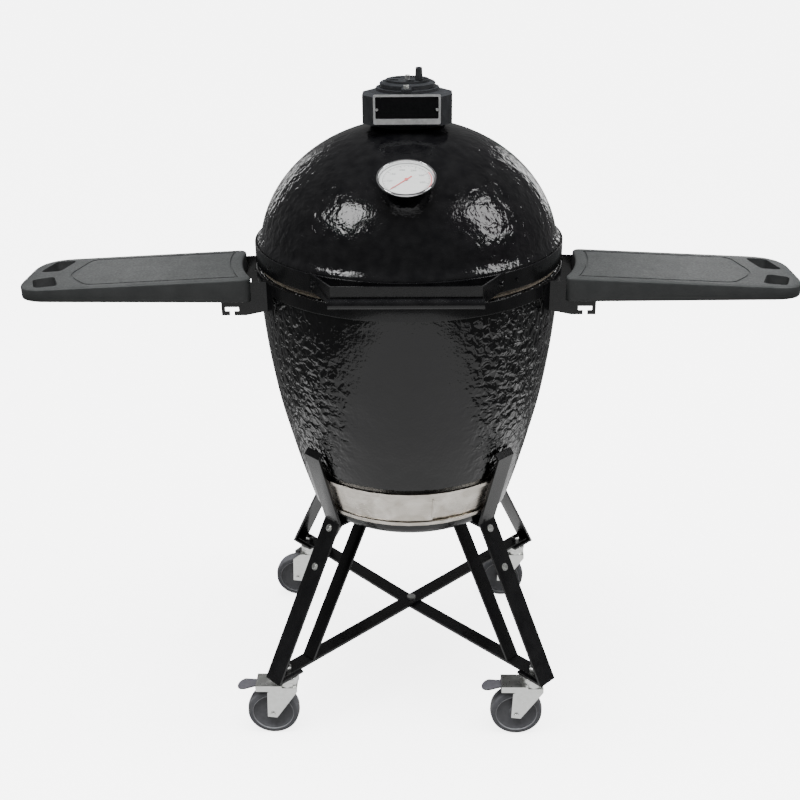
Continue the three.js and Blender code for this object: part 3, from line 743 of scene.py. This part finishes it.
# ---------------------------------------------------------------- handle, hinge and draft door
def draft_screws():
    """Two screws through each end of the draft frame."""
    heads = []
    for angle in (-47.5, 47.5):
        for z, radius in ((0.452, 0.2078), (0.499, 0.2202)):
            out = around(angle, 1)
            heads.append(screw_head(0.0036, 0.0022, around(angle, radius, z), out))
    piece("draft_screws", merged(*heads), LOOKS["zinc"], "stand", crease=30)


def handle_bolts():
    """A bolt through each of the handle's two feet, where they meet the lid band."""
    out = {side: Vector((side * 0.88, -0.475, 0)).normalized() for side in (-1, 1)}
    heads = [
        bolt_head(0.0045, 0.0035, Vector((side * 0.1495, -0.2415, 0.911)) + out[side] * 0.0016, out[side])
        for side in (-1, 1)
    ]
    piece("handle_bolts", merged(*heads), LOOKS["black_steel"], "lid", crease=30)


dressed("lid_handle", 0.0007)
dressed("hinge_base_bracket", 0.0009)
dressed("hinge_lid_bracket", 0.0009)
dressed("draft_frame", 0.0005)
dressed("draft_door", 0.0004)
draft_screws()
handle_bolts()


# ---------------------------------------------------------------- shelves
def shelf_height(x):
    """The height of the shelves' top face at a distance from the middle."""
    return SHELF_TOP - (abs(x) - SHELF_ROOT) * SHELF_FALL


def moulded(outline, edge, depth):
    """A solid of an outline with rolled edges, its top at zero."""
    sheet = bpy.data.curves.new("outline", "CURVE")
    sheet.dimensions = "2D"
    sheet.fill_mode = "BOTH"
    run = sheet.splines.new("POLY")
    run.points.add(len(outline) - 1)
    for point, (x, y) in zip(run.points, outline):
        point.co = (x, y, 0, 1)
    run.use_cyclic_u = True
    sheet.extrude = depth / 2 - edge
    sheet.bevel_depth = edge
    sheet.bevel_resolution = 4
    sheet.offset = -edge
    holder = bpy.data.objects.new("outline", sheet)
    bpy.context.scene.collection.objects.link(holder)
    bpy.context.view_layer.update()
    mesh = bpy.data.meshes.new_from_object(holder.evaluated_get(bpy.context.evaluated_depsgraph_get()))
    bm = bmesh.new()
    bm.from_mesh(mesh)
    bpy.data.objects.remove(holder)
    bpy.data.meshes.remove(mesh)
    bmesh.ops.remove_doubles(bm, verts=bm.verts, dist=1e-6)
    return moved(bm, Matrix.Translation((0, 0, -depth / 2)))


def shelf_border(inset, tip):
    """The shelf's outline next to the egg, let in by a distance and closed by the given outer points."""
    arc, front, rear = SHELF_ARC + inset, -0.142 + inset, 0.034 - inset

    def at(y, radius):
        return math.sqrt(arc ** 2 - y ** 2), y, radius

    steps = 14
    sweep = [rear - 0.026 + (front - rear + 0.052) * i / steps for i in range(steps + 1)]
    inner = [at(rear, 0.018 - inset), *[at(y, 0) for y in sweep], at(front, 0.015 - inset)]
    return rounded(inner + tip, 8)


def panel_outline(grow):
    """The border of the shelf's middle panel, let out by a distance."""
    inner = []
    steps = 12
    for i in range(steps + 1):
        y = 0.018 + grow - (0.144 + 2 * grow) * i / steps
        inner.append((math.sqrt((0.318 - grow) ** 2 - y ** 2), y, 0))
    tip = [
        (0.556 + grow, -0.126 - grow, 0.030), (0.600 + grow, -0.070, 0.060),
        (0.578 + grow, 0.018 + grow, 0.022),
    ]
    return rounded(inner + tip, 6)


def shelf(side):
    """One shelf, right for 1 and left for -1: made flat, then sloped and thinned towards its tip."""
    name = "shelf_right" if side > 0 else "shelf_left"
    depth, tip_depth = SHELF_APRON
    tip = [(SHELF_TIP, -0.142, 0.052), (SHELF_TIP, 0.034, 0.060)]
    bm = moulded(shelf_border(0, tip), 0.0045, depth)
    obj = piece(f"{name}_moulding", bm, LOOKS["shelf_plastic"], name, (name,), 40)
    hollow = shelf_border(0.006, [(0.588, -0.136, 0), (0.588, 0.028, 0)])
    slots = [
        [(0.603, -0.124, 0.008), (0.643, -0.130, 0.012), (0.660, -0.084, 0.010), (0.624, -0.072, 0.010)],
        [(0.622, -0.040, 0.010), (0.660, -0.043, 0.010), (0.645, 0.018, 0.012), (0.608, 0.018, 0.008)],
    ]
    groove = prism(panel_outline(0.0017), -0.0022, 0.001)
    slot_solids = [prism(rounded(corners, 8), -depth - 0.001, 0.001) for corners in slots]
    carved(obj, prism(hollow, -depth - 0.001, -0.006), *slot_solids)
    island = prism(panel_outline(-0.0017), -0.003, 0.002)
    carved(obj, hollowed(groove, island))
    soften_rims(obj)
    for v in obj.data.vertices:
        t = (v.co.x - SHELF_ROOT) / (SHELF_TIP - SHELF_ROOT)
        v.co.z = shelf_height(v.co.x) + v.co.z * (1 + t * (tip_depth / depth - 1))
        v.co.x *= side
    if side < 0:
        obj.data.flip_normals()
    obj.data.update()
    obj.data.set_sharp_from_angle(angle=math.radians(40))


def hollowed(outer, inner):
    """One closed mesh with another cut out of it."""
    mesh = bpy.data.meshes.new("outer")
    bmesh.ops.recalc_face_normals(outer, faces=outer.faces[:])
    outer.to_mesh(mesh)
    outer.free()
    holder = bpy.data.objects.new("outer", mesh)
    bpy.context.scene.collection.objects.link(holder)
    carved(holder, inner)
    bm = bmesh.new()
    bm.from_mesh(holder.data)
    bpy.data.objects.remove(holder)
    return bm


def soften_rims(obj):
    """Softens the sharp rims of a shelf, round its slots, its groove and the hollow beneath."""
    edge = obj.modifiers.new("rims", "BEVEL")
    edge.width = 0.0006
    edge.segments = 2
    edge.limit_method = "ANGLE"
    edge.angle_limit = math.radians(50)
    edge.harden_normals = True


shelf(1)
shelf(-1)
for side in ("right", "left"):
    for place in ("front", "rear"):
        dressed(f"bracket_{side}_{place}", 0.0005)


# ---------------------------------------------------------------- cart
def cart_bolts():
    """The bolts that hold the straps to the legs."""
    heads = []
    for angle in (45, 135, 225, 315):
        turn = Matrix.Rotation(math.radians(angle), 4, "Z")
        for rho, z, lean in ((0.2504, 0.3349, 29.5), (0.2122, 0.4022, 29.5)):
            tilt = math.radians(lean)
            out = turn @ Vector((math.cos(tilt), 0, math.sin(tilt)))
            heads.append(bolt_head(0.0050, 0.0040, turn @ Vector((rho, 0, z)), out))
    piece("cart_bolts", merged(*heads), LOOKS["zinc"], "stand", crease=30)


for corner in CORNERS:
    dressed(f"leg_{corner}", 0.0007)
for node in ("inner_frame_a", "inner_frame_b", "cross_strap_a", "cross_strap_b"):
    dressed(node, 0.0007)
cart_bolts()


# ---------------------------------------------------------------- casters
def caster(corner):
    """A wheel: its tyre, its dished centre and the moulded lips between them, whose pale grey is a painted
    highlight on their edge.
    """
    low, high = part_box(f"caster_wheel_{corner}")
    hub = (low + high) / 2
    across = Matrix.Translation(hub) @ Matrix.Rotation(math.radians(90), 4, "X")
    tread = rounded([
        (0.0385, -0.0125, 0), (0.0400, -0.0148, 0.001), (WHEEL_R - 0.002, -0.0135, 0.003),
        (WHEEL_R, 0, 0.010),
        (WHEEL_R - 0.002, 0.0135, 0.003), (0.0400, 0.0148, 0.001), (0.0385, 0.0125, 0),
    ], 5, closed=False)
    body = f"wheel_{corner}"
    piece(f"wheel_tyre_{corner}", moved(lathe(tread, 72, closed=True), across), LOOKS["wheel_rubber"], body,
          (f"caster_wheel_{corner}",), 50)
    disc = [(0.0056, -0.0138), (0.013, -0.0138), (0.015, -0.0105), (0.032, -0.0095), (0.0384, -0.0124)]
    centre = disc + [(r, -z) for r, z in reversed(disc)]
    disc_solid = moved(lathe(centre, 72, closed=True), across)
    piece(f"wheel_centre_{corner}", disc_solid, HUB_GREY, body, crease=40)
    # Lips between tyre and centre: real moulded rings whose pale grey is a painted edge highlight.
    lips = []
    for face in (-1, 1):
        lip = [
            (0.0384, face * 0.0120), (0.0384, face * 0.0146), (0.0390, face * 0.0149),
            (0.0396, face * 0.0146), (0.0396, face * 0.0120),
        ]
        lips.append(moved(lathe(lip, 72, closed=True), across))
    piece(f"wheel_lips_{corner}", merged(*lips), LIP_PAINTED_HIGHLIGHT, body, crease=40)


def caster_mount(corner):
    """The ball race, stem and nut that a caster turns in."""
    low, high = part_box(f"caster_mount_{corner}")
    middle = (low + high) / 2
    race_corners = [(0, 0.1220, 0), (0.0205, 0.1220, 0.002), (0.0205, 0.1316, 0.003), (0, 0.1316, 0)]
    race = rounded(race_corners, 4, closed=False)
    stem = [(0, 0.131), (0.005, 0.131), (0.005, high.z), (0, high.z)]
    nut = [(0, 0.1426), (0.009, 0.1426), (0.009, high.z - 0.001), (0.0078, high.z), (0, high.z)]
    whole = merged(lathe(race, 48), lathe(stem, 24), lathe(nut, 6))
    bm = moved(whole, Matrix.Translation((middle.x, middle.y, 0)))
    piece(f"caster_race_{corner}", bm, LOOKS["zinc"], "stand", (f"caster_mount_{corner}",), 30)


def brake_pedal(corner):
    """A moulded paddle with a round toe, on its spindle."""
    low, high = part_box(f"brake_pedal_{corner}")
    toe, middle = low.x, (low.y + high.y) / 2
    half, waist = 0.0150, 0.0105
    thickness, underside, rise = 0.0042, 0.1004, 0.0062
    outline = []
    for i in range(17):
        a = math.radians(90 + 180 * i / 16)
        outline.append((toe + half + half * math.cos(a), half * math.sin(a)))
    neck, root = toe + 0.034, toe + PEDAL_REACH
    outline += [(neck, -waist), (root, -waist), (root, waist), (neck, waist)]
    paddle = prism(outline, 0, thickness)
    for v in paddle.verts:
        run = (v.co.x - toe) / PEDAL_REACH
        v.co.z += underside + rise * math.sin(min(1, run * 1.25) * math.pi / 2)
        v.co.y += middle
    spindle = lathe([(0, -0.0158), (0.0029, -0.0158), (0.0029, 0.0158), (0, 0.0158)], 20)
    axle = Matrix.Translation((toe + 0.0385, middle, 0.1075)) @ Matrix.Rotation(math.radians(90), 4, "X")
    node = f"brake_pedal_{corner}"
    whole = merged(paddle, moved(spindle, axle))
    slot = "pedal_plastic"
    pedal = piece(f"{node}_paddle", whole, LOOKS[slot], BODY_OF[node], (node,), 40)
    edge = pedal.modifiers.new("rolled edges", "BEVEL")
    edge.width = 0.0016
    edge.segments = 4
    edge.limit_method = "ANGLE"
    edge.angle_limit = math.radians(40)
    edge.harden_normals = True


for corner in CORNERS:
    caster(corner)
    caster_mount(corner)
    dressed(f"caster_fork_{corner}", 0.0006, crease=38)
for corner in CORNERS[:2]:
    brake_pedal(corner)

# ---------------------------------------------------------------- CAD nodes that show as they are
for node in NODES:
    if not NODES[node].hide_render:
        NODES[node].data.materials.clear()
        NODES[node].data.materials.append(LOOKS[SLOT_OF[node]].material)


# ---------------------------------------------------------------- stage, lights and camera
def sheet(name, x, y, z, look):
    """A flat stage piece between two x and two y positions."""
    bm = bmesh.new()
    corners = ((x[0], y[0], z), (x[1], y[0], z), (x[1], y[1], z), (x[0], y[1], z))
    bm.faces.new([bm.verts.new(point) for point in corners])
    mesh = bpy.data.meshes.new(name)
    bm.to_mesh(mesh)
    bm.free()
    mesh.materials.append(look.material)
    obj = bpy.data.objects.new(name, mesh)
    obj.visible_diffuse = False
    bpy.context.scene.collection.objects.link(obj)
    return obj


def floor():
    """A pale floor, and under it the lit strip that the metal and the glaze mirror instead of it."""
    look = Look("floor", (0.86, 0.86, 0.86), 0.9, Emission_Color=(1, 1, 1, 1), Emission_Strength=FLOOR_GLOW)
    look.rough(look.noise(3, 2), 0.85, 0.95)
    sheet("floor", (-60, 60), (-60, 60), 0, look).visible_glossy = False
    glow = Look("reflector", (0, 0, 0), 0.9, Emission_Color=(1, 1, 1, 1), Emission_Strength=REFLECTOR_GLOW)
    sheet("reflector", (-1.05, 1.05), (-3.5, 0.6), -0.002, glow).visible_camera = False


def backdrop():
    """A pale dome beyond the floor, seen by the camera only."""
    mesh = bpy.data.meshes.new("backdrop")
    bm = lathe([(59, -0.5), (59, 12), (45, 36), (20, 50), (0, 53)], 48)
    bm.to_mesh(mesh)
    bm.free()
    glow = Look("backdrop", (0, 0, 0), 0.9, Emission_Color=(1, 1, 1, 1), Emission_Strength=BACKDROP_GLOW)
    mesh.materials.append(glow.material)
    obj = bpy.data.objects.new("backdrop", mesh)
    obj.visible_diffuse = False
    obj.visible_glossy = False
    obj.visible_transmission = False
    obj.visible_shadow = False
    bpy.context.scene.collection.objects.link(obj)


def softbox(name, target, azimuth, elevation, distance, size, power):
    """An area light seen from a point of the grill at an azimuth from the front and an elevation."""
    light = bpy.data.lights.new(name, "AREA")
    light.shape = "RECTANGLE"
    light.size, light.size_y = size
    light.energy = power
    holder = bpy.data.objects.new(name, light)
    e = math.radians(elevation)
    way = around(azimuth, math.cos(e), math.sin(e))
    holder.location = Vector(target) + way * distance
    holder.rotation_mode = "QUATERNION"
    holder.rotation_quaternion = way.to_track_quat("Z", "Y")
    bpy.context.scene.collection.objects.link(holder)


def overhead():
    """A broad, even light from above that isn't itself mirrored in the glaze."""
    light = bpy.data.lights.new("overhead", "SUN")
    light.energy = 7.5
    light.angle = math.radians(45)
    holder = bpy.data.objects.new("overhead", light)
    holder.rotation_euler = (math.radians(4), 0, 0)
    holder.visible_glossy = False
    bpy.context.scene.collection.objects.link(holder)


def lights():
    """A dim world, two softboxes mirrored on the lid, a faint rim light behind each side, and overhead."""
    world = bpy.data.worlds.new("studio")
    world.use_nodes = True
    world.node_tree.nodes["Background"].inputs["Color"].default_value = (1, 1, 1, 1)
    world.node_tree.nodes["Background"].inputs["Strength"].default_value = 0.16
    bpy.context.scene.world = world
    softbox("left softbox", (-0.09, -0.21, 1.01), -62, 45, 2.4, (0.88, 0.78), 30)
    softbox("right softbox", (0.12, -0.20, 1.01), 77, 37, 2.4, (0.95, 1.25), 34)
    softbox("left rim", (-0.2, 0.1, 0.9), -156, 6, 2.6, (0.4, 1.2), 3)
    softbox("right rim", (0.2, 0.1, 0.9), 156, 6, 2.6, (0.5, 1.2), 5)
    overhead()


def camera():
    """In front of the grill and a little to its right, looking down by about 25 degrees."""
    data = bpy.data.cameras.new("camera")
    data.lens = 50.556
    data.sensor_width = 36
    data.clip_start, data.clip_end = 0.05, 200
    obj = bpy.data.objects.new("camera", data)
    right = Vector((0.99975164, 0.01968172, -0.01045427))
    up = Vector((0.00130147, 0.41673527, 0.90902696))
    back = right.cross(up)
    turn = Matrix((right, up, back)).transposed().to_4x4()
    obj.matrix_world = Matrix.Translation((0.0290, -1.9509, 1.48978)) @ turn
    bpy.context.scene.collection.objects.link(obj)
    bpy.context.scene.camera = obj


floor()
backdrop()
lights()
camera()
